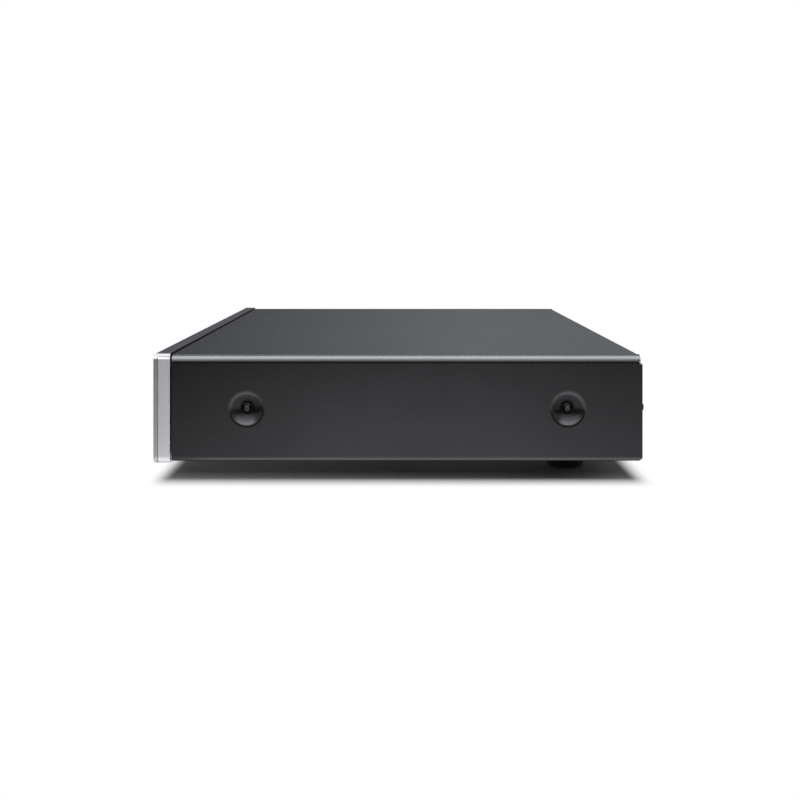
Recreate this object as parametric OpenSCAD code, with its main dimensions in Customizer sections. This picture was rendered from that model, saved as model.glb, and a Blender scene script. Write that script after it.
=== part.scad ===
// Network music streamer: a low, full-width hi-fi component in a folded steel case.
// Frame: origin on the floor under the middle of the part, +Z up, front panel facing -Y.

/* [Case] */
// Width across the front panel
body_w = 430; // [400:1:460]
// Depth from the face of the front panel to the outer face of the rear panel
body_d = 287.8; // [275:0.1:320]
// Height of the wrapped cover
cover_h = 62.7; // [60:0.1:72]
// Height of the cover's underside above the floor
ground_gap = 11.3; // [10:0.1:18]
// Sheet thickness of the cover
sheet_t = 1; // [0.8:0.1:1.2]
// Outside radius of the long upper folds of the cover
bend_r = 5; // [3:0.1:6]
// Outside radius of the folds along the bottom of its sides
low_bend_r = 3; // [2:0.1:4]
// Cut at the lower rear corners of the cover
corner_cut = 1.8; // [1:0.1:3]
// Outside radius of the fold at the rear edge of the cover
rear_bend_r = 1.5; // [1.3:0.1:2]
// Width of the folded lips under the cover's sides
lip_w = 8; // [7:0.5:10]
// Height of the folded flange at the rear of the cover
flange_w = 8; // [7.5:0.1:9]

/* [Front panel] */
// Thickness of the front panel's face
plate_t = 2.4; // [2:0.1:3.2]
// Thickness of the flanges along the top and bottom of the front panel
panel_flange_t = 2; // [1.6:0.1:2.8]
// Depth of the front panel channel, front to back
panel_d = 9.6; // [9:0.1:11]
// How far the front panel stands proud of the cover all round
panel_lip = 1; // [0.4:0.1:1.5]
// Shadow gap between the front panel and the cover
shadow_gap = 0.9; // [0.5:0.1:1.5]
// Corner radius of the front panel seen from the front
panel_corner_r = 4.2; // [3:0.1:6]
// Radius of the long front edges of the front panel
panel_edge_r = 1.8; // [0.8:0.1:2.4]
// Length of the end caps along the panel
cap_l = 7; // [5:0.5:9]
// Wall of the end caps
cap_wall = 2; // [1.4:0.1:2.4]
// Joint line round the end caps
cap_gap = 0.3; // [0.2:0.05:0.4]
// Radius of the fixing bosses behind the front panel
boss_r = 3.5; // [3:0.1:4]
// Height of the fixing bosses above and below the middle of the panel
boss_rise = 21.5; // [20.5:0.1:22]
// Distance of the outer bosses from the ends of the panel
boss_end = 20; // [18:0.5:23]
// Distance of the inner bosses from the middle of the panel
boss_mid = 92; // [90:1:97]
// Radius of the posts that carry the control board
post_r = 3; // [2.6:0.1:3.5]
// Distance of those posts from the middle of the panel
post_off = 106; // [103:1:112]
// Height of those posts above and below the middle of the panel
post_rise = 11; // [9:0.5:12]
// Length of the end caps' tongues inside the channel
tongue_l = 7; // [5:0.5:8]
// Thickness of those tongues
tongue_t = 1.5; // [1.2:0.1:2]

/* [Screw dimples] */
// Depth of the flat screw seat
dish_depth = 3.6; // [3.2:0.1:4.4]
// Radius of the pressed bowl
bowl_r = 14; // [12:0.5:15]
// Radius of the rounded rim of the bowl
rim_r = 2.5; // [1.5:0.1:3]
// Radius of the flat screw seat
seat_r = 3.8; // [3.4:0.1:4.4]
// Distance of the front dimple from the cover's front edge
dish_front = 44.1; // [35:0.1:60]
// Distance of the rear dimple from the cover's rear edge
dish_rear = 42.8; // [35:0.1:60]
// Drop of the dimples below the middle of the cover
dish_drop = 0.35; // [0:0.05:2]

/* [Base and rear panel] */
// Sheet thickness of the base tray
base_t = 1.2; // [1:0.1:1.5]
// Outside radius of the base tray's folds
base_bend_r = 2; // [1.8:0.1:3]
// Height of the base tray's side walls
base_side_h = 42; // [38:1:46]
// Margin of the base tray's front wall above its upper screws
wall_margin = 1.5; // [1:0.1:2.5]
// Set-back of the base tray's front wall from the cover's front edge
front_set = 0.6; // [0.4:0.1:1.2]
// Sheet thickness of the rear panel
rear_t = 1.1; // [1:0.1:1.4]
// Drop of the rear panel's top edge below the cover's top
rear_drop = 5.2; // [4.5:0.1:6]
// Height of the base tray's rear flange
rear_flange_h = 8; // [7:0.1:8.5]
// Length of a vent slot in the base
vent_l = 24; // [18:1:30]
// Width of a vent slot in the base
vent_w = 3; // [2:0.5:4]
// Spacing of the vent slots
vent_pitch = 8; // [6:1:10]
// Vent slots in each row
vent_count = 9; // [5:1:11]

/* [Feet] */
// Radius of a foot
foot_r = 12.2; // [11:0.1:14]
// Radius of the rounded bottom edge of a foot
foot_round = 1.4; // [1:0.1:2.5]
// Outer radius of the soft ring under a foot
pad_r = 9; // [8.5:0.1:9.5]
// Inner radius of the soft ring under a foot
pad_hole_r = 6; // [5.5:0.1:6.5]
// Thickness of the soft ring
pad_t = 1.8; // [1.4:0.1:2.4]
// How far the soft ring stands out of the foot
pad_proud = 0.6; // [0.4:0.1:1]
// Inset of the front feet from the cover's sides
foot_side_front = 85; // [80:1:110]
// Inset of the rear feet from the cover's sides
foot_side_rear = 45; // [40:1:60]
// Distance of the front feet from the front panel's face
foot_front = 45; // [40:1:60]
// Distance of the rear feet from the rear panel
foot_rear = 40; // [36:1:60]

/* [Knob and buttons] */
// Radius of the knob
knob_r = 18; // [15:0.5:19]
// Reach of the knob in front of the front panel
knob_reach = 9; // [8:0.5:10]
// Gap between the knob and the front panel
knob_gap = 1.1; // [1:0.1:1.5]
// Distance of the knob from the right end of the front panel
knob_end = 72; // [68:1:80]
// Travel of the knob when it is pressed
knob_travel = 0.6; // [0.4:0.1:0.6]
// Length of a function button
button_l = 15; // [12:0.5:17]
// Height of a function button
button_h = 6; // [5:0.5:7]
// Vertical spacing of the function buttons
button_pitch = 12; // [11:0.5:13]
// Gap between the display window and the function buttons
button_off = 9; // [7:0.5:12]
// How far the buttons stand out of the front panel
button_proud = 0.8; // [0.7:0.1:1.2]
// Travel of a button
press_travel = 0.5; // [0.3:0.1:0.6]
// Running clearance round moving pieces
run_gap = 0.3; // [0.25:0.05:0.35]
// Thickness of the collar that keeps a button behind the panel
collar_t = 1; // [0.8:0.1:1.1]
// Width of that collar round the button
collar_w = 1; // [0.8:0.1:1.2]
// Radius of the standby button
standby_r = 5.5; // [4.5:0.1:6]
// Distance of the standby button from the left end of the front panel
standby_end = 27; // [25:1:40]
// Distance of the infra-red window from the standby button
ir_off = 22; // [18:1:30]
// Radius of the infra-red window
ir_r = 3.5; // [2.5:0.1:4]
// Distance of the status light below the standby button
light_drop = 11; // [10:0.5:13]
// Radius of the status light
light_r = 1.1; // [0.8:0.1:1.5]

/* [Display] */
// Width of the display window
window_w = 118; // [100:1:130]
// Height of the display window
window_h = 36; // [30:1:38]
// Corner radius of the display window
window_r = 2.5; // [1:0.1:4]
// Depth of the window's face below the front panel's face
window_set = 0.3; // [0.1:0.1:0.6]
// Width of the bonding rim behind the display window
window_rim = 1.5; // [1:0.1:1.8]
// Thickness of that rim
window_rim_t = 1.2; // [0.8:0.1:1.4]

/* [Boards] */
// Thickness of the circuit boards
pcb_t = 1.6; // [1.2:0.1:2]
// Height of the standoffs under the boards
standoff_h = 8; // [6:0.5:10]
// Radius of a standoff
standoff_r = 3; // [2.5:0.1:3.5]
// Width of the main board
main_w = 205; // [200:1:215]
// Depth of the main board
main_l = 120; // [110:1:125]
// Distance of the main board from the right side wall of the base
main_side = 22; // [18:1:26]
// Width of the power board
power_w = 116; // [110:1:120]
// Depth of the power board
power_l = 74; // [70:1:80]
// Distance of the power board from the left side wall of the base
power_side = 12; // [10:1:14]
// Gap between the boards' rear edges and the rear panel
board_rear = 3; // [2:0.5:5]
// Radius of the ring-core transformer
core_r = 38; // [34:1:42]
// Height of the ring-core transformer
core_h = 32; // [28:1:34]
// Radius of the hole in the ring core
core_hole_r = 12; // [10:0.5:14]
// Width of the ribbon cable
ribbon_w = 20; // [14:1:26]
// Thickness of the ribbon cable
ribbon_t = 0.4; // [0.3:0.1:0.6]

/* [Sockets] */
// Reach of the phono sockets behind the rear panel
socket_reach = 8; // [7:0.1:9]
// Outer radius of a phono socket's collar
phono_r = 4.15; // [4:0.05:4.3]
// Inner radius of a phono socket's collar
phono_bore_r = 3.4; // [3.2:0.05:3.5]
// Radius of the contact hole in a phono socket
phono_pin_r = 1.65; // [1.5:0.05:1.8]
// Spacing of the two analogue phono sockets
phono_pitch = 22; // [18:0.5:25]
// Distance of the right phono socket from the right side of the cover
phono_side = 56; // [54:1:64]
// Height of the phono sockets above the main board
phono_rise = 12; // [10:0.5:14]
// Clearance of the sockets in their cut-outs
cut_gap = 0.3; // [0.2:0.05:0.5]
// Width of the mains inlet's mouth
inlet_w = 24.4; // [24:0.1:25]
// Height of the mains inlet's mouth
inlet_h = 16.6; // [16:0.1:17]
// Depth of the mains inlet's mouth
inlet_depth = 17; // [16:0.5:18]
// Wall of the mains inlet
inlet_wall = 1.6; // [1.4:0.1:2]
// Distance of the mains inlet from the left side of the cover
inlet_side = 42; // [40:1:50]
// Distance from the mains inlet to the mains switch
switch_off = 42; // [38:1:48]
// Half of the rocker's swing
rocker_tilt = 10; // [8:1:12]

/* [Fasteners] */
// Radius of the M3 screws
screw_r = 1.5; // [1.4:0.05:1.6]
// Radius of their heads
head_r = 3; // [2.7:0.1:3.2]
// Height of their heads
head_h = 2.4; // [2:0.1:2.6]
// Clearance of a screw in a tapped hole
thread_gap = 0.05; // [0.03:0.01:0.08]
// Clearance of a screw in a plain hole
hole_gap = 0.2; // [0.15:0.05:0.3]
// Length of the cover and rear panel screws
case_screw_l = 8; // [7:0.5:9]
// Length of the front panel screws
panel_screw_l = 8; // [6:0.5:9]
// Length of the board screws
board_screw_l = 5.5; // [5:0.5:6]

/* [Hidden] */
$fn = 64;

// Colours
case_grey = [0.24, 0.24, 0.26];
panel_grey = [0.36, 0.36, 0.38];
bare_metal = [0.78, 0.78, 0.80];
zinc = [0.62, 0.63, 0.65];
dark_steel = [0.16, 0.16, 0.17];
soft_black = [0.05, 0.05, 0.05];
moulded_black = [0.10, 0.10, 0.11];
board_green = [0.07, 0.30, 0.17];
copper_red = [0.62, 0.33, 0.18];
brass_yellow = [0.80, 0.66, 0.34];

// Small construction values
bite = 0.5;
touch = 0.1;
corner_gap = 0.5;

// Main planes of the case
total_d = knob_reach + body_d + socket_reach;
front_y = knob_reach - total_d / 2;
plate_y = front_y + plate_t;
channel_y = front_y + panel_d;
rear_y = front_y + body_d;
cover_y0 = channel_y + shadow_gap;
cover_y1 = rear_y - rear_t;
cover_x = body_w / 2 - panel_lip;
cover_z0 = ground_gap;
cover_z1 = ground_gap + cover_h;
mid_z = ground_gap + cover_h / 2;
panel_h = cover_h + 2 * panel_lip;
panel_z0 = mid_z - panel_h / 2;
panel_z1 = mid_z + panel_h / 2;

// Screw dimples: the bowl's centre lies outside the cover, the rim's centre inside the sheet
bowl_c = dish_depth - sqrt(pow(bowl_r, 2) - pow(seat_r, 2));
rim_c = sqrt(pow(bowl_r + rim_r, 2) - pow(rim_r - bowl_c, 2));
dish_ys = [cover_y0 + dish_front, cover_y1 - dish_rear];
dish_z = mid_z - dish_drop;

// Base tray
base_x = cover_x - dish_depth - sheet_t;
base_z0 = cover_z0 + sheet_t + touch;
base_z1 = base_z0 + base_t;
base_y0 = cover_y0 + front_set;
base_relief = base_bend_r + corner_gap;
front_wall_h = mid_z + boss_rise + head_r + wall_margin - base_z0;

// Feet: x, y
foot_web = 5;
foot_bore_gap = 1.5;
foot_bore_r = head_r + foot_bore_gap;
foot_thread = 3;
foot_fx = cover_x - foot_side_front;
foot_rx = cover_x - foot_side_rear;
foot_fy = front_y + foot_front;
foot_ry = rear_y - foot_rear;
foot_places = [[-foot_fx, foot_fy], [foot_fx, foot_fy], [-foot_rx, foot_ry], [foot_rx, foot_ry]];

// Controls
knob_x = body_w / 2 - knob_end;
standby_x = standby_end - body_w / 2;
ir_x = standby_x + ir_off;
button_x = window_w / 2 + button_off + button_l / 2;
ctrl_margin = 1;
ctrl_half = boss_rise - boss_r - ctrl_margin;
ctrl_over = [8, 12];
ctrl_x0 = standby_x - ctrl_over[0];
ctrl_x1 = knob_x + ctrl_over[1];
switch_w = 6;
switch_h = 1.6;
switch_cap_h = 0.4;
switch_cap_r = 1.7;
stem_l = 0.2;
stem_y = plate_y + touch + collar_t + stem_l;
ctrl_y0 = stem_y + press_travel + run_gap + switch_cap_h + switch_h;
ctrl_y1 = ctrl_y0 + pcb_t;
switch_places = concat(
    [[standby_x, mid_z]],
    [for (sx = [-1, 1], sz = [-1, 0, 1]) [sx * button_x, mid_z + sz * button_pitch]]
);
boss_places = [for (x = [body_w / 2 - boss_end, boss_mid], sx = [-1, 1], sz = [-1, 1])
    [sx * x, mid_z + sz * boss_rise]];
post_places = [for (sx = [-1, 1], sz = [-1, 1]) [sx * post_off, mid_z + sz * post_rise]];

// Rotary push encoder
bush_r = 4.5;
bush_reach = 3;
shaft_r = 3;
shaft_gap = 0.05;
shaft_flat = 1.8;
encoder_w = 13;
pocket_r = 4.2;
plunger_r = 3.8;
plunger_t = 1;
pocket_d = touch + plunger_t + knob_travel + corner_gap;
plunger_y = ctrl_y0 - pocket_d + touch;
nut_t = 2;
nut_r = 7;
knob_face_t = 1.5;
knob_recess_r = 9.5;
knob_recess_d = bush_reach + knob_travel + 2 * run_gap - knob_gap;
shaft_y = front_y - knob_reach + knob_face_t + touch;

// Boards
board_z0 = base_z1 + standoff_h;
board_z1 = board_z0 + pcb_t;
main_x1 = base_x - base_t - main_side;
main_x0 = main_x1 - main_w;
board_y1 = cover_y1 - board_rear;
main_y0 = board_y1 - main_l;
power_x0 = base_t + power_side - base_x;
power_x1 = power_x0 + power_w;
power_y0 = board_y1 - power_l;
hole_inset = 6;
main_holes = [for (x = [main_x0 + hole_inset, main_x1 - hole_inset],
    y = [main_y0 + hole_inset, board_y1 - hole_inset]) [x, y]];
power_holes = [for (x = [power_x0 + hole_inset, power_x1 - hole_inset],
    y = [power_y0 + hole_inset, board_y1 - hole_inset]) [x, y]];
spigot_r = 2.2;

// Parts on the boards: places on the main board are measured from its front left corner
chip_t = 2.4;
chips = [[30, 70, 14], [95, 78, 10], [160, 70, 12], [180, 50, 8]];
sink_w = 36;
sink_at = [60, 38];
net_at = [120, 40];
net_size = [34, 46];
net_can = [20, 30];
header_w = 2.4;
big_cap = [8, 28];
small_cap = [5, 16];
big_cap_gap = 1.5;
small_cap_at = [118, 92];
small_cap_pitch = 14;
small_cap_count = 5;

// Screws of the rear panel and vents in the base
rear_screw_in = 3;
rear_screw_x = base_x - base_t - rear_screw_in;
bracket_w = 12;
bracket_l = 15;
bracket_half = 8;
base_screw_rise = 4.4;
base_screw_l = 6;
vent_in = 8;
vent_y = power_y0 + vent_in;
vent_xs = [(power_x0 + power_x1) / 2, (main_x0 + main_x1) / 2];

// Ring-core transformer
core_x = (power_x0 + power_x1) / 2;
core_gap = 20;
core_y = power_y0 - core_gap - core_r;
core_round = 6;
core_z1 = base_z1 + core_h;
bolt_r = 3;
bolt_head_r = 5.6;
bolt_head_h = 4;
washer_t = 2;
washer_lap = 6;
washer_r = core_hole_r + core_round + washer_lap;
bolt_l = core_h + washer_t + base_t;

// Rear sockets
phono_y = cover_y1 - touch;
phono_x = cover_x - phono_side;
coax_off = 28;
usb_off = 26;
usb_pitch = 20;
lan_off = 28;
phono_xs = [phono_x, phono_x - phono_pitch, phono_x - phono_pitch - coax_off];
usb_xs = [phono_xs[2] - usb_off, phono_xs[2] - usb_off - usb_pitch];
lan_x = usb_xs[1] - lan_off;
phono_z = board_z1 + phono_rise;
phono_step = 0.7;
phono_step_r = phono_r + phono_step;
phono_body_w = 11;
phono_body_l = 13;
phono_lip = 1;
lan_w = 16;
lan_h = 13.4;
lan_l = 21;
lan_mouth = [11.8, 6.8, 13];
lan_floor = 1.6;
latch_w = 6.2;
latch_h = 2.2;
usb_size = [13.4, 14, 6];
usb_wall = 0.45;
usb_tongue = [11, 9, 1.9];
usb_tongue_set = 1;
socket_proud = 0.6;

// Mains inlet and switch
inlet_x = inlet_side - cover_x;
inlet_drop = 7;
inlet_z = mid_z - inlet_drop;
inlet_rim = 1.6;
inlet_cut = 2 * (inlet_wall + cut_gap);
inlet_flange_t = 2;
inlet_y0 = rear_y + inlet_flange_t - inlet_depth - inlet_wall;
inlet_chamfer = 4.5;
lug_w = 1;
lug_l = 6;
lug_half = 3;
blade = [2, 4];
blade_pitch = 7;
blade_rise = 2;
blade_set = 3;
tab_t = 0.8;
tab_l = 9;
tab_y = inlet_y0 - tab_l;
blade_places = [[-blade_pitch, -blade_rise], [blade_pitch, -blade_rise], [0, blade_rise]];
switch_x = inlet_x + switch_off;
switch_body = [12.8, 15, 19];
switch_flange = [15.4, 1.6, 21.6];
flange_corner_r = 1;
rocker_w = 9.8;
rocker_r = 7.6;
rocker_depth = 3.6;
rocker_rise = 0.4;
pivot_r = 1.2;
pivot_l = 0.9;
pivot_set = 0.6;
pivot_y = rear_y - pivot_set;
rocker_room = 2.4;
pocket_y = pivot_y - rocker_depth - rocker_room;
switch_tab_y = rear_y - switch_body[1] - tab_l;
lead_r = 1.5;
lead_l = 14;
terminal_l = 12;

// Ribbon cable
ribbon_x = 30;
ribbon_up = 4;
ribbon_z = mid_z - ctrl_half + ribbon_up;
ribbon_r = 3;
ribbon_reach = 3;
ribbon_set = 1;
ribbon_y0 = base_y0 + base_t + ribbon_reach;
ribbon_y1 = main_y0 + ribbon_set;
ribbon_run = 6;
plug_wall = 2;
plug_l = 5;
dc_in = 40;
dc_rise = 4;
dc_y = board_y1 - dc_in;
dc_z = board_z1 + dc_rise;
dc_count = 6;
dc_pitch = 2.5;
dc_r = 0.9;
dc_ends = 3;
dc_plug = [6, dc_count * dc_pitch + dc_ends, 8];
core_lead_xs = [-9, -3, 3, 9];
core_plug = [24, 6, 8];

// Extrusions along the three axes; the flat shape lies in YZ, XZ or XY
module along_x(x0, x1) {
    translate([x0, 0, 0]) rotate([90, 0, 90]) linear_extrude(x1 - x0) children();
}

module along_y(y0, y1) {
    translate([0, y1, 0]) rotate([90, 0, 0]) linear_extrude(y1 - y0) children();
}

module along_z(z0, z1) {
    translate([0, 0, z0]) linear_extrude(z1 - z0) children();
}

module rod_x(r, x0, x1) {
    translate([x0, 0, 0]) rotate([0, 90, 0]) cylinder(r = r, h = x1 - x0);
}

module rod_y(r, y0, y1) {
    translate([0, y1, 0]) rotate([90, 0, 0]) cylinder(r = r, h = y1 - y0);
}

module block(low, high) {
    translate(low) cube(high - low);
}

// Rectangle with round corners, centred
module round_rect(w, h, r) {
    square([w - 2 * r, h], center = true);
    square([w, h - 2 * r], center = true);
    for (sx = [-1, 1], sy = [-1, 1])
        translate([sx * (w / 2 - r), sy * (h / 2 - r)]) circle(r);
}

// Slot with round ends, centred, its length along x
module slot(l, w) {
    square([l - w, w], center = true);
    for (sx = [-1, 1]) translate([sx * (l - w) / 2, 0]) circle(w / 2);
}

// Section of a folded sheet: outer corner at the origin, legs along +x and +y
module fold(leg_x, leg_y, t, r) {
    if (leg_x > r) translate([r, 0]) square([leg_x - r, t]);
    if (leg_y > r) translate([0, r]) square([t, leg_y - r]);
    intersection() {
        translate([r, r]) difference() {
            circle(r);
            circle(r - t);
        }
        square(r);
    }
}

// Dome-head screw: head above z = 0, shank below it, six-lobe recess
module screw(length) {
    dome_rise = 0.65 * head_h;
    dome_r = (pow(head_r, 2) + pow(dome_rise, 2)) / (2 * dome_rise);
    drive_d = 0.6 * head_h;
    lobe_c = 0.36 * head_r;
    lobe_r = 0.14 * head_r;
    difference() {
        union() {
            intersection() {
                cylinder(r = head_r, h = head_h);
                translate([0, 0, head_h - dome_r]) sphere(dome_r);
            }
            translate([0, 0, -length]) cylinder(r = screw_r, h = length + bite);
        }
        translate([0, 0, head_h - drive_d]) {
            cylinder(r = lobe_c, h = head_h);
            for (k = [0:5]) rotate(60 * k) translate([lobe_c, 0, 0]) cylinder(r = lobe_r, h = head_h);
        }
    }
}

// Front panel
module panel_outline() {
    translate([0, mid_z]) round_rect(body_w, panel_h, panel_corner_r);
}

module channel_section() {
    difference() {
        union() {
            translate([front_y + panel_edge_r, panel_z0]) square([panel_d - panel_edge_r, panel_h]);
            translate([front_y, panel_z0 + panel_edge_r]) square([panel_d, panel_h - 2 * panel_edge_r]);
            for (z = [panel_z0 + panel_edge_r, panel_z1 - panel_edge_r])
                translate([front_y + panel_edge_r, z]) circle(panel_edge_r);
        }
        translate([plate_y, panel_z0 + panel_flange_t]) square([panel_d, panel_h - 2 * panel_flange_t]);
    }
}

module button_shape(grow) {
    slot(button_l + 2 * grow, button_h + 2 * grow);
}

module front_panel() {
    color(panel_grey) difference() {
        union() {
            intersection() {
                along_x(-body_w / 2, body_w / 2) channel_section();
                along_y(front_y - bite, channel_y + bite) panel_outline();
            }
            for (p = boss_places) translate([p[0], 0, p[1]]) rod_y(boss_r, plate_y - bite, base_y0);
            for (p = post_places) translate([p[0], 0, p[1]]) rod_y(post_r, plate_y - bite, ctrl_y0);
        }
        for (side = [0, 1]) mirror([side, 0, 0])
            block([body_w / 2 - cap_l - cap_gap, plate_y, panel_z0 - bite],
                [body_w / 2 + bite, channel_y + bite, panel_z0 + panel_flange_t + bite]);
        along_y(front_y - bite, plate_y + bite) {
            translate([0, mid_z]) round_rect(window_w, window_h, window_r);
            for (p = switch_places) if (p[0] != standby_x) translate(p) button_shape(run_gap);
            translate([standby_x, mid_z]) circle(standby_r + run_gap);
            translate([standby_x, mid_z - light_drop]) circle(light_r + touch);
            translate([ir_x, mid_z]) circle(ir_r + touch);
            translate([knob_x, mid_z]) circle(bush_r + touch);
        }
        for (p = boss_places) translate([p[0], 0, p[1]])
            rod_y(screw_r + thread_gap, base_y0 + base_t - panel_screw_l - bite, base_y0 + bite);
        for (p = post_places) translate([p[0], 0, p[1]])
            rod_y(screw_r + thread_gap, ctrl_y1 - board_screw_l - bite, ctrl_y0 + bite);
    }
}

// End cap: a hollow piece let into the open end of the channel under its top flange, held by two tongues
module end_cap() {
    x1 = body_w / 2;
    x0 = x1 - cap_l;
    y0 = plate_y + cap_gap;
    z1 = panel_z1 - panel_flange_t - cap_gap;
    color(bare_metal) intersection() {
        along_y(front_y, channel_y) panel_outline();
        union() {
            difference() {
                block([x0, y0, panel_z0], [x1, channel_y, z1]);
                block([x0 - bite, y0 + cap_wall, panel_z0 + panel_flange_t + cap_wall],
                    [x1 - cap_wall, channel_y - cap_wall, z1 - cap_wall]);
            }
            for (z = [panel_z0 + panel_flange_t + cap_gap, z1 - tongue_t])
                block([x0 - tongue_l, y0 + touch, z], [x0 + bite, channel_y - touch, z + tongue_t]);
        }
    }
}

module end_cap_left() {
    mirror([1, 0, 0]) end_cap();
}

module end_cap_right() {
    end_cap();
}

// Top cover: one folded sheet over the top and both sides, with pressed screw dimples
module wrap(inset) {
    w = 2 * (cover_x - inset);
    h = cover_h - 2 * inset;
    for (half = [[0, bend_r], [1, low_bend_r]]) mirror([0, half[0]]) intersection() {
        round_rect(w, h, half[1] - inset);
        translate([-w / 2, -bite]) square([w, h / 2 + bite]);
    }
}

module cover_section() {
    difference() {
        translate([0, mid_z]) difference() {
            wrap(0);
            wrap(sheet_t);
        }
        translate([lip_w - cover_x, cover_z0 - bite]) square([2 * (cover_x - lip_w), sheet_t + 2 * bite]);
    }
}

// Pressed bowl seen from outside: z runs into the case, grow is the sheet's thickness or nothing,
// and lead is how far it starts outside the sheet
module dimple(grow, lead) {
    share = (bowl_r + grow) / (bowl_r + rim_r);
    join_r = rim_c * share;
    join_z = bowl_c + (rim_r - bowl_c) * share;
    intersection() {
        translate([0, 0, bowl_c]) sphere(bowl_r + grow);
        cylinder(r = join_r, h = dish_depth + grow);
    }
    rotate_extrude() difference() {
        translate([0, -lead]) square([rim_c, join_z + lead]);
        translate([rim_c, rim_r]) circle(rim_r - grow);
    }
}

module on_dimples() {
    for (side = [0, 1], y = dish_ys) mirror([side, 0, 0])
        translate([cover_x, y, dish_z]) rotate([0, -90, 0]) children();
}

module on_rear_screws() {
    for (x = [-rear_screw_x, rear_screw_x]) translate([x, rear_y, dish_z]) rotate([-90, 0, 0]) children();
}

module top_cover() {
    fold_y = cover_y1 - rear_bend_r;
    flange_x = cover_x - bend_r;
    side_h = cover_h - bend_r - corner_gap;
    color(case_grey) difference() {
        union() {
            along_y(cover_y0, fold_y) cover_section();
            along_y(fold_y - bite, rear_y) intersection() {
                cover_section();
                translate([-cover_x, cover_z0]) square([2 * cover_x, side_h]);
            }
            along_y(fold_y - bite, cover_y1) for (side = [0, 1]) mirror([side, 0]) intersection() {
                cover_section();
                translate([flange_x - bite, cover_z1 - bend_r + 2 * corner_gap]) square(bend_r + bite);
            }
            along_x(-flange_x, flange_x) translate([cover_y1, cover_z1]) rotate(180)
                fold(rear_bend_r + bite, flange_w, sheet_t, rear_bend_r);
            on_dimples() dimple(sheet_t, 0);
        }
        along_x(-body_w, body_w) polygon([[rear_y + bite, cover_z0 - bite],
            [rear_y + bite, cover_z0 + corner_cut + bite], [rear_y - corner_cut - bite, cover_z0 - bite]]);
        on_dimples() {
            dimple(0, bite);
            cylinder(r = screw_r + hole_gap, h = 2 * dish_depth);
        }
    }
}

// Base tray: floor with folded side walls, front wall and rear flange
module vent_slots() {
    for (x = vent_xs, k = [0:vent_count - 1])
        translate([x + (k - (vent_count - 1) / 2) * vent_pitch, vent_y]) rotate(90) slot(vent_l, vent_w);
}

module on_base_screws() {
    z = base_z0 + base_screw_rise;
    for (k = [-1.5:1.5]) translate([k * cover_x / 2, rear_y, z]) rotate([-90, 0, 0]) children();
}

module base_tray() {
    color(case_grey) difference() {
        union() {
            along_y(base_y0 + base_bend_r, cover_y1 - base_bend_r) for (side = [0, 1]) mirror([side, 0])
                translate([-base_x, base_z0]) fold(base_x, base_side_h, base_t, base_bend_r);
            along_x(base_relief - base_x, base_x - base_relief) {
                translate([base_y0, base_z0]) fold(base_bend_r + bite, front_wall_h, base_t, base_bend_r);
                translate([cover_y1, base_z0]) mirror([1, 0])
                    fold(base_bend_r + bite, rear_flange_h, base_t, base_bend_r);
            }
        }
        along_z(base_z0 - bite, base_z1 + bite) {
            vent_slots();
            for (p = concat(main_holes, power_holes)) translate(p) circle(spigot_r + thread_gap);
            for (p = foot_places) translate(p) circle(screw_r + thread_gap);
            translate([core_x, core_y]) circle(bolt_r + thread_gap);
        }
        along_y(base_y0 - bite, base_y0 + base_t + bite) {
            for (p = boss_places) translate(p) circle(screw_r + hole_gap);
            translate([ribbon_x, ribbon_z])
                round_rect(ribbon_w + 4 * plug_wall, 4 * plug_wall, plug_wall / 2);
        }
        on_dimples() cylinder(r = screw_r + hole_gap, h = base_side_h);
        on_base_screws() translate([0, 0, -base_screw_l - bite])
            cylinder(r = screw_r + thread_gap, h = base_screw_l + bite);
    }
}

// Rear panel: flat sheet let in between the sides of the cover
module rear_panel() {
    inset = sheet_t + touch;
    z0 = cover_z0 + inset;
    z1 = cover_z1 - rear_drop;
    color(case_grey) difference() {
        along_y(cover_y1, rear_y) translate([0, (z0 + z1) / 2])
            round_rect(2 * (cover_x - inset), z1 - z0, low_bend_r - inset);
        along_y(cover_y1 - bite, rear_y + bite) {
            translate([inlet_x, inlet_z])
                square([inlet_w + inlet_cut, inlet_h + inlet_cut], center = true);
            translate([switch_x, inlet_z])
                square([switch_body[0] + 2 * cut_gap, switch_body[2] + 2 * cut_gap], center = true);
            for (x = phono_xs) translate([x, phono_z]) circle(phono_step_r + cut_gap);
            for (x = usb_xs) translate([x, board_z1 + usb_size[2] / 2])
                square([usb_size[0] + 2 * cut_gap, usb_size[2] + 2 * cut_gap], center = true);
            translate([lan_x, board_z1 + lan_h / 2])
                square([lan_w + 2 * cut_gap, lan_h + 2 * cut_gap], center = true);
        }
        on_rear_screws() translate([0, 0, -2 * rear_t]) cylinder(r = screw_r + hole_gap, h = 3 * rear_t);
        on_base_screws() translate([0, 0, -2 * rear_t]) cylinder(r = screw_r + hole_gap, h = 3 * rear_t);
    }
}

// Angle brackets welded inside the base tray's side walls, tapped for the rear panel's screws
module rear_brackets() {
    color(zinc) difference() {
        for (side = [0, 1]) mirror([side, 0, 0]) along_z(dish_z - bracket_half, dish_z + bracket_half)
            translate([base_x - base_t, cover_y1]) rotate(180)
                fold(bracket_w, bracket_l, base_t, base_bend_r);
        on_rear_screws() translate([0, 0, -case_screw_l])
            cylinder(r = screw_r + thread_gap, h = case_screw_l);
    }
}

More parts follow.
